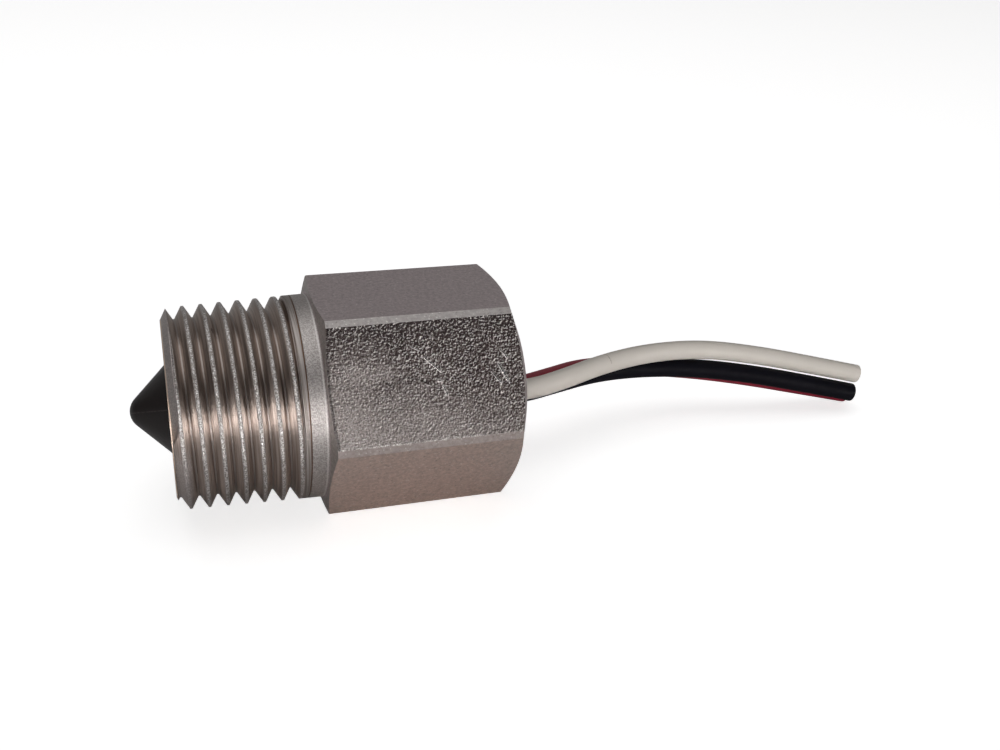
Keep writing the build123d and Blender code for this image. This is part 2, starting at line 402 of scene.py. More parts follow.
@dataclass(frozen=True)
class SteelPattern:
    """Limits and scales of the housing's masks, in millimetres, parts of the pitch or parts of a normal.

    A ramp holds both ends of a smooth step and may hold its results there. A texture holds a noise's scale,
    detail, roughness and distortion.
    """

    beads: Texture = (6.5, 2.0, 0.65)
    cloud: Texture = (0.28, 2.0, 0.5)
    mottle: Texture = (2.6, 3.0, 0.65)
    tool: Texture = (1.3, 3.0, 0.6)
    tool_stretch: Pair = (9.0, 0.5)
    grain: Texture = (4.7, 2.0, 0.6, 0.3)
    dots: Texture = (4.6, 0.0)
    thread_end: Ramp = (-0.02, -0.12)
    crest_width: Ramp = (0.125, 0.09)
    crest_ragged: float = 0.17
    crest_round: Ramp = (0.05, 0.145)
    crest_depth: float = 0.08
    root_width: Ramp = (0.44, 0.462)
    hollow_ends: Pair = (0.062, 0.457)
    hollow_depth: float = 2.3
    chamfer_reach: Ramp = (0.30, 0.20)
    chamfer_end: Ramp = (0.86, 0.76)
    off_face: Ramp = (-0.96, -0.93)
    start_end: Ramp = (1.9, 1.5)
    start_height: Ramp = (1.5, -1.5)
    start_radius: Ramp = (8.3, 8.8)
    rim_highlight_end: Ramp = (0.15, 0.08)
    ridge: Pair = (0.02, 0.06)
    line: Band = (0.02, 0.12, 0.03)
    ring: Band = (0.16, -0.04, 0.04)
    ring_edge_highlight: Band = (-0.24, -0.12, 0.05)
    hexagon_start: Ramp = (0.02, 0.06)
    coarse_facing: Ramp = (0.985, 0.993)
    down_facing: Ramp = (-0.2, -0.45)
    strip_facing: float = 0.8
    strip_width: Ramp = (0.12, 0.08)
    upright_facing: Ramp = (0.25, 0.15)
    shoulder_facing: Ramp = (-0.7, -0.85)
    side_facing: Ramp = (0.5, 0.3)
    glint_height: Band = (0.38, 0.5, 0.04)
    glint_side: Ramp = (-12.0, -12.2)
    glint_patches: Ramp = (0.38, 0.62, 0.25, 1.0)
    glint_beads: Ramp = (0.46, 0.58)
    soft_slope: Pair = (-0.040, -0.09)
    soft_level: float = 0.46
    soft_cloud: float = 0.60
    soft_mark: Mark = Mark(4.6, 1.1, -3.0, 5.0, 1.4)
    soft_mark_share: float = 0.30
    soft_taken: float = 0.12
    # Painted light and shade of the grains: their lit and shaded sides come from a shifted copy of the grain,
    # with painted sparkle highlights.
    grain_shift: Point = (-0.07, 0.05, 0.10)
    grain_lean: float = 0.9
    lit: Ramp = (0.54, 0.70)
    shaded_grain: Ramp = (0.46, 0.34)
    soft_dulling: float = 0.10
    sparkle: Ramp = (0.66, 0.80, 0.0, 0.6)
    dark_edge: Ramp = (0.30, 0.12)
    speck: Ramp = (0.70, 0.78)
    dimple: Ramp = (0.27, 0.20)
    scratches: tuple[Mark, ...] = (
        Mark(10.56, 1.50, -44.0, 2.36, 0.18), Mark(11.58, -1.13, -70.0, 1.20, 0.22),
        Mark(17.92, 1.96, -54.2, 1.34, 0.18), Mark(17.69, 0.17, -65.2, 2.18, 0.28),
        Mark(16.98, -0.40, -54.6, 1.32, 0.18), Mark(8.87, 3.28, -30.1, 0.79, 0.16),
        Mark(11.10, -0.11, -20.0, 0.50, 0.30),
    )
    dents: tuple[Mark, ...] = (
        Mark(3.11, 1.29, 0, 0.12, 0.16), Mark(8.39, -4.78, 0, 0.12, 0.18),
        Mark(5.92, 0.06, -42.3, 0.98, 0.11), Mark(6.97, 0.15, 31.6, 1.61, 0.11),
        Mark(8.39, 0.36, -16.1, 1.52, 0.11), Mark(9.70, -0.16, -27.9, 1.28, 0.11),
    )


def put(name: str, data: bpy.types.ID) -> Object:
    """New object in the scene that shows some data."""
    thing = bpy.data.objects.new(name, data)
    bpy.context.scene.collection.objects.link(thing)
    return thing


def moved(limits: Pair, by: float) -> Pair:
    """Two limits moved along together."""
    return limits[0] + by, limits[1] + by


@dataclass
class BodyMap:
    """Masks and coordinates that tell the parts of the housing's surface apart."""

    mix: Mixture
    plan: SensorPlan
    pattern: SteelPattern

    def __post_init__(self) -> None:
        """Lay out every mask on the sensor's own axes."""
        mix, plan, pattern = self.mix, self.plan, self.pattern
        origin = (-plan.shoulder_x, 0, -plan.axis_height)
        self.local = mix.place(mix.coordinates.outputs["Object"], origin, (1 / MM,) * 3)
        self.x, self.y, self.z = mix.split(self.local)
        self.normal_x, self.normal_y, self.normal_z = mix.split(mix.coordinates.outputs["Normal"])
        self.beads = mix.noise(self.local, *pattern.beads)
        self.cloud = mix.noise(self.local, *pattern.cloud)
        self.mottle = mix.noise(self.local, *pattern.mottle)
        self.map_thread()
        self.map_nose()
        self.map_hexagon()
        self.map_grain()

    def map_thread(self) -> None:
        """Follow the helix to tell crests, flanks and roots apart."""
        mix, plan, pattern = self.mix, self.plan, self.pattern
        around = mix.maths("ARCTAN2", self.z, mix.times(self.y, -1.0))
        turn = mix.maths("DIVIDE", mix.minus(math.pi - math.radians(plan.crest_angle), around), 2 * math.pi)
        along = mix.maths("DIVIDE", mix.minus(self.x, plan.crest_x), plan.thread_pitch)
        helix = mix.minus(along, turn)
        phase = mix.maths("FRACT", mix.plus(helix, 0.5))
        from_crest = mix.maths("ABSOLUTE", mix.minus(phase, 0.5))
        ragged = mix.times(mix.minus(self.beads, 0.5), pattern.crest_ragged)
        thread = mix.step(self.x, *moved(pattern.thread_end, plan.neck_start))
        self.crest = mix.times(thread, mix.step(mix.plus(from_crest, ragged), *pattern.crest_width))
        self.root = mix.times(thread, mix.step(from_crest, *pattern.root_width))
        self.flank = mix.minus(mix.minus(thread, self.crest), self.root, clamp=True)
        near, far = pattern.hollow_ends
        hollow = mix.times(mix.largest(mix.maths("MINIMUM", from_crest, far), near), pattern.hollow_depth)
        crest_round = mix.times(mix.step(from_crest, *pattern.crest_round), pattern.crest_depth)
        self.rounding = mix.times(thread, mix.plus(crest_round, hollow))
        stretched = (mix.times(part, share) for part, share in zip((helix, around), pattern.tool_stretch))
        self.tool = mix.noise(mix.gather(*stretched), *pattern.tool)

    def map_nose(self) -> None:
        """Find the chamfer, the painted highlight along its front edge, and the ridge, line and ring of the
        neck with a painted highlight on the ring's edge.
        """
        mix, plan, pattern = self.mix, self.plan, self.pattern
        squares = (mix.maths("POWER", part, 2.0) for part in (self.y, self.z))
        self.radius = mix.maths("SQRT", mix.plus(*squares))
        rise = math.tan(math.radians(plan.chamfer_angle))
        cone = mix.plus(mix.times(mix.minus(self.x, plan.face_x), rise), plan.face_radius)
        near_cone = mix.step(mix.maths("ABSOLUTE", mix.minus(self.radius, cone)), *pattern.chamfer_reach)
        self.chamfer = mix.times(near_cone, mix.step(self.x, *moved(pattern.chamfer_end, plan.face_x)))
        outside = mix.step(self.normal_x, *pattern.off_face)
        near_face = mix.step(self.x, *moved(pattern.start_end, plan.face_x))
        low = mix.times(mix.step(self.z, *pattern.start_height), mix.step(self.radius, *pattern.start_radius))
        self.start = mix.times(near_face, low, outside)
        # Painted highlight along the front edge between the end face and the chamfer.
        self.rim_highlight = mix.times(outside, mix.step(self.x, *moved(pattern.rim_highlight_end, plan.face_x)))
        before, soft = pattern.ridge
        self.ridge = mix.band(self.x, *moved((plan.neck_start, plan.neck_line), -before), soft)
        *line, soft = pattern.line
        self.line = mix.band(self.x, *moved(line, plan.neck_line), soft)
        after, ring_end, soft = pattern.ring
        self.ring = mix.band(self.x, plan.neck_line + after, ring_end, soft)
        # Painted highlight along the edge of the neck ring.
        self.ring_edge_highlight = mix.band(self.x, *pattern.ring_edge_highlight)

    def map_hexagon(self) -> None:
        """Tell the coarse flat, the faces that look down and the strip beside the top flat apart."""
        mix, pattern = self.mix, self.pattern
        sine, cosine = 0.5, math.cos(math.radians(30))
        hexagon = mix.step(self.x, *pattern.hexagon_start)
        facing = mix.plus(mix.times(self.normal_y, -cosine), mix.times(self.normal_z, sine))
        self.coarse = mix.times(hexagon, mix.step(facing, *pattern.coarse_facing))
        self.downward = mix.times(hexagon, mix.step(self.normal_z, *pattern.down_facing))
        off_strip = mix.maths("ABSOLUTE", mix.minus(self.normal_z, pattern.strip_facing))
        self.strip = mix.times(hexagon, mix.step(off_strip, *pattern.strip_width))
        self.shoulder = mix.times(hexagon, mix.step(self.normal_x, *pattern.shoulder_facing))
        upright = mix.step(mix.maths("ABSOLUTE", self.normal_z), *pattern.upright_facing)
        sideways = mix.step(mix.maths("ABSOLUTE", self.normal_x), *pattern.side_facing)
        self.front_strip = mix.times(hexagon, mix.times(upright, sideways))
        self.across = mix.plus(mix.times(self.y, sine), mix.times(self.z, cosine))
        self.flat = mix.gather(self.x, self.across)
        # Painted highlight: a broken glint line along the edge below the coarse flat.
        edge = mix.times(mix.band(self.z, *pattern.glint_height), mix.step(self.y, *pattern.glint_side))
        patchy = mix.step(self.mottle, *pattern.glint_patches)
        self.glint = mix.times(edge, mix.times(mix.step(self.beads, *pattern.glint_beads), patchy))

    def map_grain(self) -> None:
        """Grain of the coarse flat with painted light and shade on its sides, how much it fades towards one
        corner, and its scratches and dents.
        """
        mix, plan, pattern = self.mix, self.plan, self.pattern
        along, across = pattern.soft_slope
        slope = mix.plus(mix.times(self.across, across), mix.times(self.x, along))
        fade = mix.plus(slope, pattern.soft_level, mix.times(self.cloud, pattern.soft_cloud))
        smoothed = mix.times(pattern.soft_mark.mask(mix, self.flat), pattern.soft_mark_share)
        self.softness = mix.minus(mix.plus(fade, smoothed), pattern.soft_taken, clamp=True)
        self.grain = mix.noise(self.local, *pattern.grain)
        # Painted light and shade: a shifted copy of the grain lights one side of each grain and shades the
        # other, and sparkle puts painted highlights on the proudest grains.
        shifted = mix.noise(mix.place(self.local, pattern.grain_shift), *pattern.grain)
        lean = mix.plus(mix.times(mix.minus(self.grain, shifted), pattern.grain_lean), self.grain)
        self.lit = mix.step(lean, *pattern.lit)
        self.shaded_grain = mix.step(lean, *pattern.shaded_grain)
        proud = mix.minus(lean, mix.times(self.softness, pattern.soft_dulling))
        self.sparkle = mix.step(proud, *pattern.sparkle)
        rise = math.tan(math.radians(plan.shoulder_angle))
        beyond_cone = mix.minus(self.x, mix.times(mix.minus(self.radius, plan.neck_radius), rise))
        self.dark_edge = mix.times(self.coarse, mix.step(beyond_cone, *pattern.dark_edge))
        dots = mix.noise(self.local, *pattern.dots)
        self.speck = mix.step(dots, *pattern.speck)
        self.dimple = mix.step(dots, *pattern.dimple)
        scratched = mix.largest(*(mark.mask(mix, self.flat) for mark in pattern.scratches))
        self.scratched = mix.times(scratched, self.coarse)
        dented = mix.largest(*(mark.mask(mix, self.flat) for mark in pattern.dents))
        self.dented = mix.times(mix.largest(dented, self.dark_edge), self.coarse)


@dataclass(frozen=True)
class BodyFinish:
    """Machined and blasted steel of the housing."""

    plan: SensorPlan
    pattern: SteelPattern = SteelPattern()
    flat_colour: Colour = (0.525, 0.455, 0.46)
    # Painted reflection of the floor: lighter, warmer copies of the steel colour for the faces that look
    # down, a little darker towards the rear.
    downward_lit_colour: Colour = (0.61, 0.50, 0.45)
    downward_lit_rear_colour: Colour = (0.58, 0.475, 0.43)
    rear_fade: Ramp = (15.0, 21.0)
    strip_colour: Colour = (0.36, 0.335, 0.325)
    front_strip_colour: Colour = (0.40, 0.345, 0.325)
    shoulder_colour: Colour = (0.46, 0.42, 0.40)
    mottle_ramp: Ramp = (0.3, 0.7)
    mottle_greys: Pair = (0.86, 1.14)
    speck_share: float = 0.45
    dimple_share: float = 0.35
    coarse_dark: Colour = (0.115, 0.092, 0.088)
    coarse_light: Colour = (0.36, 0.32, 0.305)
    # Painted shade towards the top edge of the coarse flat.
    coarse_shade: Ramp = (1.8, 6.2, 0.0, 0.9)
    lit_grain_colour: Colour = (0.58, 0.54, 0.52)
    lit_shares: Pair = (0.76, 0.40)
    shaded_grain_shares: Pair = (1.0, 0.40)
    sparkle_colour: Colour = (1.0, 0.97, 0.95)
    # Share of painted shade in the dents.
    dent_shade_share: float = 0.45
    scratch_shares: Pair = (0.55, 0.9)
    flank_colour: Colour = (0.45, 0.37, 0.325)
    flank_dark: Colour = (0.26, 0.205, 0.178)
    flank_ramp: Ramp = (0.36, 0.64)
    crest_colour: Colour = (0.76, 0.73, 0.72)
    crest_dark: Colour = (0.33, 0.295, 0.275)
    bead_ramp: Ramp = (0.42, 0.60)
    root_colour: Colour = (0.29, 0.25, 0.23)
    chamfer_colour: Colour = (0.45, 0.40, 0.385)
    chamfer_greys: Pair = (0.82, 1.15)
    start_share: float = 0.75
    # Colour of the painted highlight along the front edge.
    rim_highlight_colour: Colour = (0.85, 0.68, 0.56)
    ridge_colour: Colour = (0.26, 0.225, 0.205)
    ridge_light: Colour = (0.44, 0.40, 0.38)
    ridge_ramp: Ramp = (0.4, 0.62)
    line_colour: Colour = (0.17, 0.11, 0.08)
    ring_light: Colour = (0.54, 0.505, 0.49)
    ring_dark: Colour = (0.36, 0.33, 0.315)
    # Share of the painted highlight on the neck ring's edge.
    ring_edge_highlight_share: float = 0.5
    # Dark colour of real dark dots and the nick in the thread, also used for painted shade on the shaded
    # sides of grains, in dents and towards the top edge of the coarse flat.
    stain_and_shade_colour: Colour = (0.035, 0.026, 0.026)
    # Colour of light specks and scratches, also of the painted glint and ring-edge highlights.
    bright_mark_and_highlight_colour: Colour = (0.84, 0.81, 0.79)
    nick_place: Point = (-9.9, -2.3, 9.1)
    nick_half_width: float = 0.22
    nick_reach: float = 0.6
    flat_roughness: Pair = (0.42, 0.50)
    grain_depth: float = 0.28
    grain_shares: Pair = (1.0, 0.45)
    dent_depth: float = 0.5
    scratch_level: float = 0.715
    scratch_fill: float = 0.90
    skin: Texture = (8.0, 3.0, 0.7)
    skin_depth: float = 0.014
    tool_depth: float = 0.012

    def material(self) -> Material:
        """Steel that tells the thread, the neck and each flat apart by their place.

        Returns:
            The finished material.
        """
        mix = Mixture("body_steel")
        body = BodyMap(mix, self.plan, self.pattern)
        mix.set(Seat.COLOUR, self.nose_colour(body, self.hexagon_colour(body)))
        mix.set(Seat.METAL, 1.0)
        mix.set(Seat.ROUGHNESS, self.roughness(body))
        mix.set(Seat.NORMAL, self.surface(body))
        return mix.material

    def hexagon_colour(self, body: BodyMap) -> Socket:
        """Colour of the hexagon's faces.

        Args:
            body: Masks of the housing.

        Returns:
            The colour's socket.
        """
        mix = body.mix
        # Painted reflection: faces that look down get a lighter, warmer copy of the steel colour, darker
        # again towards the rear.
        below = mix.tint(mix.step(body.x, *self.rear_fade), self.downward_lit_colour, self.downward_lit_rear_colour)
        colour = mix.tint(body.downward, self.flat_colour, below)
        colour = mix.tint(body.strip, colour, self.strip_colour)
        colour = mix.tint(body.front_strip, colour, self.front_strip_colour)
        colour = mix.tint(body.shoulder, colour, self.shoulder_colour)
        mottled = mix.blend_grey(mix.step(body.mottle, *self.mottle_ramp), *self.mottle_greys)
        colour = mix.tint(1.0, colour, mottled, "MULTIPLY")
        colour = mix.tint(mix.times(body.speck, self.speck_share), colour, self.bright_mark_and_highlight_colour)
        colour = mix.tint(mix.times(body.dimple, self.dimple_share), colour, self.stain_and_shade_colour)
        # Painted shade: the coarse flat darkens towards its top edge.
        dark = mix.tint(mix.step(body.across, *self.coarse_shade), self.coarse_dark, self.stain_and_shade_colour)
        coarse = mix.tint(body.softness, dark, self.coarse_light)
        # Painted light and shade of the grains: lit sides get a lighter colour, shaded sides the dark colour,
        # and sparkle a painted highlight.
        lit = mix.times(body.lit, mix.blend(body.softness, *self.lit_shares))
        shaded_grain = mix.times(body.shaded_grain, mix.blend(body.softness, *self.shaded_grain_shares))
        coarse = mix.tint(shaded_grain, mix.tint(lit, coarse, self.lit_grain_colour), self.stain_and_shade_colour)
        coarse = mix.tint(body.sparkle, coarse, self.sparkle_colour)
        colour = mix.tint(body.coarse, colour, coarse)
        # Painted shade in the dents; the same darkening runs along the front edge of the coarse flat.
        colour = mix.tint(mix.times(body.dented, self.dent_shade_share), colour, self.stain_and_shade_colour)
        scraped = mix.times(body.scratched, mix.blend(body.lit, *self.scratch_shares))
        # Scratches get the bright colour as wear; the glint along the edge below the coarse flat is a painted
        # highlight.
        return mix.tint(mix.largest(scraped, body.glint), colour, self.bright_mark_and_highlight_colour)

    def nose_colour(self, body: BodyMap, colour: Socket) -> Socket:
        """Colour of the thread, its chamfer and the neck, over the colour of the rest.

        Args:
            body: Masks of the housing.
            colour: Colour of the hexagon.

        Returns:
            The colour's socket.
        """
        mix = body.mix
        beads = mix.step(body.beads, *self.bead_ramp)
        flank = mix.tint(mix.step(body.tool, *self.flank_ramp), self.flank_dark, self.flank_colour)
        colour = mix.tint(body.flank, colour, flank)
        colour = mix.tint(body.root, colour, self.root_colour)
        colour = mix.tint(body.crest, colour, mix.tint(beads, self.crest_dark, self.crest_colour))
        ridge = mix.tint(mix.step(body.tool, *self.ridge_ramp), self.ridge_colour, self.ridge_light)
        colour = mix.tint(body.ridge, colour, ridge)
        colour = mix.tint(body.ring, colour, mix.tint(beads, self.ring_dark, self.ring_light))
        colour = mix.tint(body.line, colour, self.line_colour)
        # Painted highlight on the neck ring's edge.
        colour = mix.tint(mix.times(body.ring_edge_highlight, self.ring_edge_highlight_share), colour, self.bright_mark_and_highlight_colour)
        chamfer = mix.tint(1.0, self.chamfer_colour, mix.blend_grey(beads, *self.chamfer_greys), "MULTIPLY")
        colour = mix.tint(body.chamfer, colour, chamfer)
        colour = mix.tint(mix.times(body.start, self.start_share), colour, chamfer)
        nick = Seam(self.plan.at(self.nick_place), (1.0, 0.0, 0.0), self.nick_half_width, self.nick_reach,
                    self.stain_and_shade_colour)
        colour = mix.tint(nick.mask(mix), colour, nick.colour)
        # Painted highlight along the front edge.
        return mix.tint(body.rim_highlight, colour, self.rim_highlight_colour)

    def roughness(self, body: BodyMap) -> Socket:
        """Roughness of the whole housing, where a later zone lies over the ones before it.

        Args:
            body: Masks of the housing.

        Returns:
            The roughness's socket.
        """
        mix = body.mix
        zones = (
            (body.coarse, 0.35), (body.flank, mix.blend(body.tool, 0.26, 0.35)), (body.root, 0.34),
            (body.crest, 0.36), (mix.largest(body.ring, body.chamfer, body.start), 0.40),
            (body.scratched, 0.25),
        )
        rough = mix.blend(body.cloud, *self.flat_roughness)
        for zone, value in zones:
            rough = mix.blend(zone, rough, value)
        return rough

    def surface(self, body: BodyMap) -> Socket:
        """Relief of the whole housing.

        Args:
            body: Masks of the housing.

        Returns:
            The normal's socket.
        """
        mix = body.mix
        granular = mix.times(body.grain, body.coarse, mix.blend(body.softness, *self.grain_shares))
        granular = mix.minus(granular, mix.times(body.dented, self.dent_depth))
        granular = mix.blend(mix.times(body.scratched, self.scratch_fill), granular, self.scratch_level)
        off_chamfer = mix.minus(1.0, body.chamfer)
        depths = ((body.crest, 0.09), (body.ring, 0.05), (body.ridge, 0.03), (body.chamfer, 0.06),
                  (body.start, 0.06))
        blasted = mix.largest(*(mix.times(zone, depth) for zone, depth in depths))
        turned = mix.times(body.tool, mix.largest(body.flank, body.ridge))
        layers = ((granular, self.grain_depth), (mix.times(body.rounding, off_chamfer), 1.0),
                  (mix.times(turned, off_chamfer), self.tool_depth), (mix.times(body.beads, blasted), 1.0))
        normal = mix.relief(mix.noise(body.local, *self.skin), self.skin_depth)
        for height, depth in layers:
            normal = mix.relief(height, depth, normal)
        return normal


@dataclass(frozen=True)
class PlainFinish:
    """Plastic, resin, rubber, ceramic or soft metal with a fine surface."""

    name: str
    colour: Colour
    shade: Colour
    roughness: float = 0.4
    spread: Pair = (0.9, 1.1)
    cloud: Texture = (400.0, 3.0)
    skin: Texture = (3200.0, 2.0)
    skin_depth: float = 0.01
    metal: float = 0.0
    coat: float = 0.0
    shine: float = 0.5
    seam: Seam | None = None

    def material(self) -> Material:
        """Surface with a little colour change and fine relief.

        Returns:
            The finished material.
        """
        mix = Mixture(self.name)
        local = mix.coordinates.outputs["Object"]
        cloud = mix.noise(local, *self.cloud)
        colour = mix.tint(cloud, self.colour, self.shade)
        if self.seam is not None:
            colour = mix.tint(self.seam.mask(mix), colour, self.seam.colour)
        mix.set(Seat.COLOUR, colour)
        mix.set(Seat.METAL, self.metal)
        mix.set(Seat.ROUGHNESS, mix.blend(cloud, *(self.roughness * share for share in self.spread)))
        mix.set(Seat.COAT, self.coat)
        mix.set(Seat.SPECULAR, self.shine)
        mix.set(Seat.NORMAL, mix.relief(mix.noise(local, *self.skin), self.skin_depth))
        return mix.material


@dataclass(frozen=True)
class LeadRoute:
    """One insulated lead: its colour and the points its line follows."""

    colour: str
    points: tuple[Point, ...]
    length: float


@dataclass
class WireEnds:
    """Tinned strands that show in the cut end of each lead."""

    plan: SensorPlan
    strands_around: int = 6
    strand_radius: float = 0.125
    strand_spacing: float = 0.255
    strand_length: float = 0.9
    strand_sides: int = 16
    proud: float = 0.07
    edge_round: float = 0.035
    smooth_below: float = 50.0

    def build(self, route: LeadRoute, tinned: Material) -> Object:
        """Bundle of one strand in the middle and six round it.

        Args:
            route: Lead whose last run the strands continue.
            tinned: Finish of the strands.

        Returns:
            The bundle's object.
        """
        end = self.plan.at(route.points[-1])
        ahead = (end - self.plan.at(route.points[-2])).normalized()
        turn = ahead.to_track_quat("Z", "Y").to_matrix()
        strand = self.strand()
        angles = (2 * math.pi * index / self.strands_around for index in range(self.strands_around))
        circle = [Vector((math.cos(a), math.sin(a), 0)) * self.strand_spacing * MM for a in angles]
        copies = []
        for offset in [Vector((0, 0, 0)), *circle]:
            copy = put(route.colour + "_strand", strand.data.copy())
            centre = end + turn @ offset + ahead * (self.proud - self.strand_length / 2) * MM
            copy.matrix_world = Matrix.Translation(centre) @ turn.to_4x4()
            copies.append(copy)
        bpy.data.objects.remove(strand)
        bpy.ops.object.select_all(action="DESELECT")
        for copy in copies:
            copy.select_set(True)
        bundle = copies[0]
        bpy.context.view_layer.objects.active = bundle
        bpy.ops.object.join()
        bpy.ops.object.transform_apply(location=True, rotation=True, scale=True)
        bundle.name = route.colour + "_strands"
        bundle.data.materials.append(tinned)
        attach(bundle, "root")
        return bundle

    def strand(self) -> Object:
        """One strand along Z with its cut edges rounded."""
        bpy.ops.mesh.primitive_cylinder_add(vertices=self.strand_sides, radius=self.strand_radius * MM,
                                            depth=self.strand_length * MM)
        strand = bpy.context.object
        bpy.ops.object.mode_set(mode="EDIT")
        bpy.ops.mesh.select_mode(type="FACE")
        bpy.ops.mesh.select_all(action="DESELECT")
        bpy.ops.object.mode_set(mode="OBJECT")
        for face in strand.data.polygons:
            face.select = abs(face.normal.z) > 0.9
        bpy.ops.object.mode_set(mode="EDIT")
        bpy.ops.mesh.bevel(offset=self.edge_round * MM, segments=2, affect="EDGES")
        bpy.ops.object.mode_set(mode="OBJECT")
        bpy.ops.object.shade_smooth_by_angle(angle=math.radians(self.smooth_below))
        return strand


@dataclass
class ResinEdges:
    """Resin that has crept up the bore and the leads before it set."""

    plan: SensorPlan
    bore_radius: float = 7.0
    bore_creep: float = 0.6
    lead_creep: float = 0.55
    height: float = 0.45
    depth_in_resin: float = 0.15
    steps: int = 6
    sides: int = 96
    smooth_below: float = 40.0

    def build(self, routes: tuple[LeadRoute, ...], resin: Material) -> list[str]:
        """Ring of crept resin along the bore wall and round each lead.

        Args:
            routes: Leads that leave the resin.
            resin: Finish of the resin.

        Returns:
            Names of the pieces made.
        """
        start = self.bore_radius - self.bore_creep
        rings = [self.ring("resin_edge_bore", (0.0, 0.0), start, self.bore_radius)]
        lead_radius = self.plan.lead_diameter / 2
        start = lead_radius + self.lead_creep
        for route in routes:
            rings.append(self.ring("resin_edge_" + route.colour, route.points[0][1:], start, lead_radius))
        for ring in rings:
            ring.data.materials.append(resin)
            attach(ring, "root")
        return [ring.name for ring in rings]

    def ring(self, name: str, centre: Pair, start: float, wall: float) -> Object:
        """Closed ring whose top runs in a hollow curve from the resin up to a wall.

        Args:
            name: Name of the piece.
            centre: Sideways place and height of the ring's middle.
            start: Radius where it meets the resin.
            wall: Radius of the wall that it climbs.

        Returns:
            The ring's object.
        """
        middle = self.plan.at((self.plan.potting_back_x, *centre))
        bpy.ops.mesh.primitive_circle_add(vertices=self.sides, radius=start * MM, location=middle,
                                          rotation=(0, math.pi / 2, 0))
        piece = bpy.context.object
        piece.name = name
        bpy.ops.object.transform_apply(location=True, rotation=True, scale=True)
        angles = (math.pi / 2 * index / self.steps for index in range(1, self.steps + 1))
        profile = [(self.height * (1 - math.cos(a)), start + (wall - start) * math.sin(a)) for a in angles]
        profile += [(-self.depth_in_resin, wall), (-self.depth_in_resin, start)]
        bpy.ops.object.mode_set(mode="EDIT")
        bpy.ops.mesh.select_mode(type="EDGE")
        bpy.ops.mesh.select_all(action="SELECT")
        level, radius = 0.0, start
        for next_level, next_radius in profile:
            bpy.ops.mesh.extrude_region_move(
                TRANSFORM_OT_translate={"value": ((next_level - level) * MM, 0, 0)}
            )
            factor = next_radius / radius
            bpy.ops.transform.resize(value=(1, factor, factor), center_override=middle)
            level, radius = next_level, next_radius
        bpy.ops.mesh.select_all(action="DESELECT")
        bpy.ops.mesh.select_non_manifold()
        bpy.ops.mesh.bridge_edge_loops()
        bpy.ops.mesh.select_all(action="SELECT")
        bpy.ops.mesh.normals_make_consistent(inside=False)
        bpy.ops.object.mode_set(mode="OBJECT")
        bpy.ops.object.shade_smooth_by_angle(angle=math.radians(self.smooth_below))
        return piece


@dataclass
class Leads:
    """The three free leads behind the potting."""

    plan: SensorPlan
    round_steps: int = 8
    run_steps: int = 16
    routes: tuple[LeadRoute, ...] = (
        LeadRoute("white", (
            (19.6, -1.0, -1.5), (23.8, -1.0, -1.5), (28.5, 0.5, -1.4), (34.6, 3.1, -1.25), (41.3, 4.95, -1.4),
            (48.75, 6.05, -2.15), (55.95, 5.3, -3.3), (63.3, 4.45, -4.95), (70.35, 3.55, -6.6),
        ), 52.4),
        LeadRoute("black", (
            (19.6, 1.0, -2.95), (23.6, 1.0, -2.95), (27.9, 2.35, -2.95), (34.1, 4.55, -3.15),
            (41.0, 5.65, -3.75), (48.45, 5.6, -4.55), (55.45, 4.3, -5.5), (62.6, 3.35, -7.05),
            (69.35, 2.5, -8.65),
        ), 51.06),
        LeadRoute("red", (
            (19.6, 3.4, -3.45), (23.7, 3.4, -3.45), (27.9, 4.72, -3.42), (33.7, 7.06, -3.63),
            (40.7, 8.08, -4.7), (48.35, 7.88, -5.83), (55.65, 6.45, -6.85), (63.1, 5.45, -8.45),
            (69.95, 4.6, -9.94),
        ), 51.81),
    )

    def build(self, finishes: dict[str, Material]) -> list[str]:
        """Make each lead as one smooth round cord.

        Args:
            finishes: Materials by CAD node.

        Returns:
            Names of the pieces made.
        """
        made = []
        ends = WireEnds(self.plan)
        for route in self.routes:
            strands = ends.build(route, finishes[route.colour + "_conductor"])
            piece = self.cord(route)
            node = route.colour + "_lead"
            piece.data.materials.append(finishes[node])
            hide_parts(node)
            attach(piece, "root")
            self.plan.at(route.points[0])
            made += [piece.name, strands.name]
        return made

    def cord(self, route: LeadRoute) -> Object:
        """Round cord along one route.

        Args:
            route: The lead's points.

        Returns:
            The curve's object.
        """
        curve = bpy.data.curves.new(route.colour + "_wire", "CURVE")
        curve.dimensions = "3D"
        curve.bevel_depth = self.plan.lead_diameter / 2 * MM
        curve.bevel_resolution = self.round_steps
        curve.resolution_u = self.run_steps
        curve.use_fill_caps = True
        spline = curve.splines.new("NURBS")
        spline.points.add(len(route.points) - 1)
        for knot, point in zip(spline.points, route.points):
            knot.co = (*self.plan.at(point), 1.0)
        spline.order_u = 3
        spline.use_endpoint_u = True
        return put(route.colour + "_wire", curve)


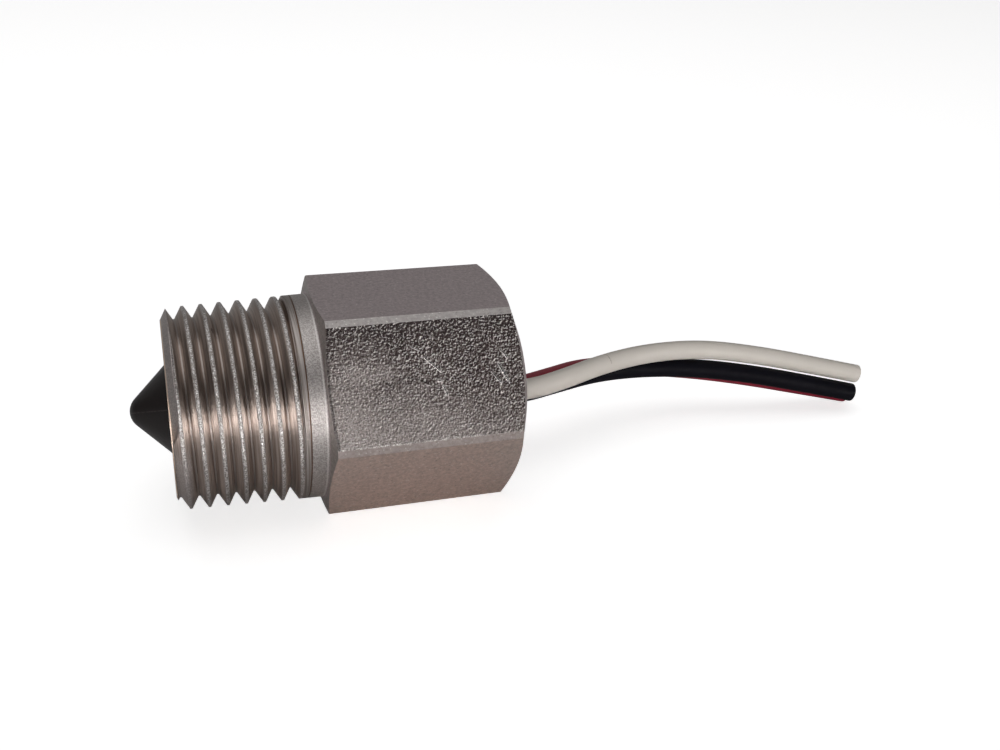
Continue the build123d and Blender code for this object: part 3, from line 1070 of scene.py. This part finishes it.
@dataclass
class Studio:
    """Floor, soft lamp, room light and the camera."""

    camera_place: Point = (-16.067, -102.291, 66.7315)
    up: Point = (0.09302, 0.44929, 0.88853)
    back: Point = (-0.29087, -0.84121, 0.45581)
    focal_length: float = 39.65
    sensor_width: float = 36.0
    clip: Pair = (0.005, 20.0)
    floor_size: float = 3.0
    floor_colour: Colour = (0.80, 0.80, 0.80)
    floor_roughness: float = 0.8
    floor_glow: float = 0.74
    floor_shine: float = 0.02
    room_colour: Colour = (1.0, 0.985, 0.98)
    room_level: float = 0.08
    window_level: float = 16.0
    window_depth: Ramp = (-0.1, -0.4)
    window_top: Ramp = (0.10, 0.03)
    window_half_width: Ramp = (0.95, 0.8)
    wall_level: float = 0.19
    wall_depth: Ramp = (0.25, 0.6)
    wall_top: Ramp = (0.75, 0.5)
    softbox_place: Point = (0, 15, 420)
    softbox_aim: Point = (0, 0, 10)
    softbox_size: Pair = (420, 420)
    softbox_power: float = 0.63

    def camera(self) -> None:
        """Camera at the photograph's place."""
        data = bpy.data.cameras.new("camera")
        data.lens = self.focal_length
        data.sensor_width = self.sensor_width
        data.clip_start, data.clip_end = self.clip
        camera = put("camera", data)
        back = Vector(self.back).normalized()
        right = Vector(self.up).cross(back).normalized()
        up = back.cross(right)
        turn = Matrix((right, up, back)).transposed().to_4x4()
        camera.matrix_world = Matrix.Translation(Vector(self.camera_place) * MM) @ turn
        bpy.context.scene.camera = camera

    def softbox(self) -> None:
        """Rectangular soft lamp above the sensor."""
        data = bpy.data.lights.new("overhead_softbox", "AREA")
        data.shape = "RECTANGLE"
        data.size, data.size_y = (side * MM for side in self.softbox_size)
        data.energy = self.softbox_power
        lamp = put("overhead_softbox", data)
        place = Vector(self.softbox_place)
        away = (place - Vector(self.softbox_aim)).normalized().to_track_quat("Z", "Y")
        lamp.matrix_world = Matrix.Translation(place * MM) @ away.to_matrix().to_4x4()

    def floor(self) -> None:
        """Pale floor that shows white where nothing shades it."""
        bpy.ops.mesh.primitive_plane_add(size=self.floor_size, location=(0, 0, 0))
        floor = bpy.context.object
        floor.name = "floor"
        mix = Mixture("floor_paper")
        mix.set(Seat.COLOUR, self.floor_colour)
        mix.set(Seat.ROUGHNESS, self.floor_roughness)
        path = mix.node("ShaderNodeLightPath")
        glow = mix.node("ShaderNodeEmission")
        seen = mix.times(path.outputs["Is Camera Ray"], self.floor_glow)
        shine = mix.times(path.outputs["Is Glossy Ray"], self.floor_shine)
        mix.feed(glow.inputs["Strength"], mix.plus(seen, shine))
        both = mix.node("ShaderNodeAddShader")
        mix.join(mix.shader.outputs[0], both.inputs[0])
        mix.join(glow.outputs[0], both.inputs[1])
        mix.join(both.outputs[0], mix.output.inputs["Surface"])
        floor.data.materials.append(mix.material)

    def world(self) -> None:
        """Room light: a low bright window in front, a pale back wall, and a white backdrop."""
        world = bpy.data.worlds.new("room")
        world.use_nodes = True
        steps = NodeSteps(world.node_tree)
        path = steps.node("ShaderNodeLightPath")
        side, depth, height = steps.split(steps.node("ShaderNodeTexCoord").outputs["Generated"])
        below_top = steps.step(height, *self.window_top)
        within_sides = steps.step(steps.maths("ABSOLUTE", side), *self.window_half_width)
        window = steps.times(steps.step(depth, *self.window_depth), steps.times(below_top, within_sides))
        wall = steps.times(steps.step(depth, *self.wall_depth), steps.step(height, *self.wall_top))
        level = steps.plus(steps.times(window, self.window_level), self.room_level,
                           steps.times(wall, self.wall_level))
        room = steps.node("ShaderNodeBackground")
        steps.feed(room.inputs["Color"], self.room_colour)
        steps.feed(room.inputs["Strength"], level)
        backdrop = steps.node("ShaderNodeBackground")
        steps.feed(backdrop.inputs["Color"], (1.0, 1.0, 1.0))
        choice = steps.node("ShaderNodeMixShader")
        sources = (path.outputs["Is Camera Ray"], room.outputs[0], backdrop.outputs[0])
        for source, target in zip(sources, choice.inputs):
            steps.join(source, target)
        steps.join(choice.outputs[0], steps.node("ShaderNodeOutputWorld").inputs["Surface"])
        bpy.context.scene.world = world

    def build(self) -> None:
        """Put up the whole studio."""
        self.world()
        self.floor()
        self.softbox()
        self.camera()
        bpy.context.scene.view_settings.view_transform = "Standard"


def finishes(plan: SensorPlan) -> dict[str, Material]:
    """Materials of the CAD pieces by node.

    Args:
        plan: Sizes of the sensor.

    Returns:
        Material for each node.
    """
    parting = Seam(plan.at((-17.6, -2.0, 1.0)), (0.0, 0.469, 0.883), 0.10, 4.6, (0.045, 0.038, 0.038))
    # Painted shade along a crease in the white lead.
    crease_shade = Seam(plan.at((34.8, 2.5, -0.35)), (0.95, 0.31, 0.0), 0.10, 0.8, (0.30, 0.25, 0.21))
    uneven = (1800.0, 3.0)
    bright = {"roughness": 0.3, "spread": (0.8, 1.3), "cloud": uneven, "skin": uneven, "metal": 1.0}
    table = (
        (BodyFinish(plan), ["housing"]),
        (PlainFinish("prism_plastic", (0.009, 0.0065, 0.0065), (0.014, 0.011, 0.011), 0.36, shine=0.26,
                     seam=parting), ["sensing_prism"]),
        (PlainFinish("seal_rubber", (0.02, 0.02, 0.02), (0.035, 0.035, 0.035), 0.6), ["prism_o_ring"]),
        (PlainFinish("holder_plastic", (0.03, 0.03, 0.033), (0.05, 0.05, 0.05), 0.5), ["optics_holder"]),
        (PlainFinish("emitter_resin", (0.25, 0.30, 0.45), (0.30, 0.35, 0.5), 0.15, coat=0.5),
         ["infrared_emitter"]),
        (PlainFinish("receiver_resin", (0.02, 0.015, 0.03), (0.035, 0.025, 0.05), 0.15, coat=0.5),
         ["phototransistor"]),
        (PlainFinish("board_laminate", (0.02, 0.15, 0.05), (0.03, 0.2, 0.07), 0.35), ["circuit_board"]),
        (PlainFinish("sleeve_film", (0.62, 0.6, 0.5), (0.7, 0.68, 0.6), 0.35), ["insulating_sleeve"]),
        (PlainFinish("package_plastic", (0.02, 0.02, 0.022), (0.035, 0.035, 0.035), 0.45),
         ["comparator_chip", "output_transistor", "protection_diode"]),
        (PlainFinish("capacitor_ceramic", (0.4, 0.26, 0.14), (0.48, 0.33, 0.2), 0.4),
         ["supply_capacitor", "filter_capacitor"]),
        (PlainFinish("resistor_glaze", (0.03, 0.03, 0.035), (0.06, 0.06, 0.06), 0.3),
         ["emitter_resistor", "collector_resistor", "reference_resistor", "pull_up_resistor"]),
        (PlainFinish("potting_resin", (0.018, 0.017, 0.016), (0.03, 0.028, 0.026), 0.35), ["potting"]),
        (PlainFinish("tinned_wire", (0.72, 0.70, 0.66), (0.576, 0.56, 0.528), **bright),
         ["white_conductor", "black_conductor", "red_conductor"]),
        (PlainFinish("solder", (0.66, 0.66, 0.66), (0.528, 0.528, 0.528), **bright),
         ["white_solder", "black_solder", "red_solder"]),
        (PlainFinish("white_insulation", (0.67, 0.625, 0.57), (0.63, 0.585, 0.53), 0.48, seam=crease_shade),
         ["white_lead"]),
        (PlainFinish("black_insulation", (0.002, 0.002, 0.004), (0.005, 0.0045, 0.008), 0.5, shine=0.08),
         ["black_lead"]),
        (PlainFinish("red_insulation", (0.20, 0.008, 0.02), (0.26, 0.01, 0.03), 0.4), ["red_lead"]),
    )
    made = {}
    for finish, nodes in table:
        made.update(dict.fromkeys(nodes, finish.material()))
    return made


def dress(nodes: dict[str, Object], looks: dict[str, Material]) -> None:
    """Give every CAD piece its material.

    Args:
        nodes: CAD objects by name.
        looks: Material for each of them.
    """
    for name, node in nodes.items():
        node.data.materials.clear()
        node.data.materials.append(looks[name])


def main() -> None:
    """Build the studio, dress the CAD pieces and add the leads."""
    logging.basicConfig(level=logging.INFO, format="%(message)s")
    plan = SensorPlan()
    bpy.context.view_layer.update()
    looks = finishes(plan)
    dress(frame["nodes"], looks)
    leads = Leads(plan)
    for name in leads.build(looks) + ResinEdges(plan).build(leads.routes, looks["potting"]):
        log.info("made %s", name)
    Studio().build()


if __name__ == "__main__":
    main()
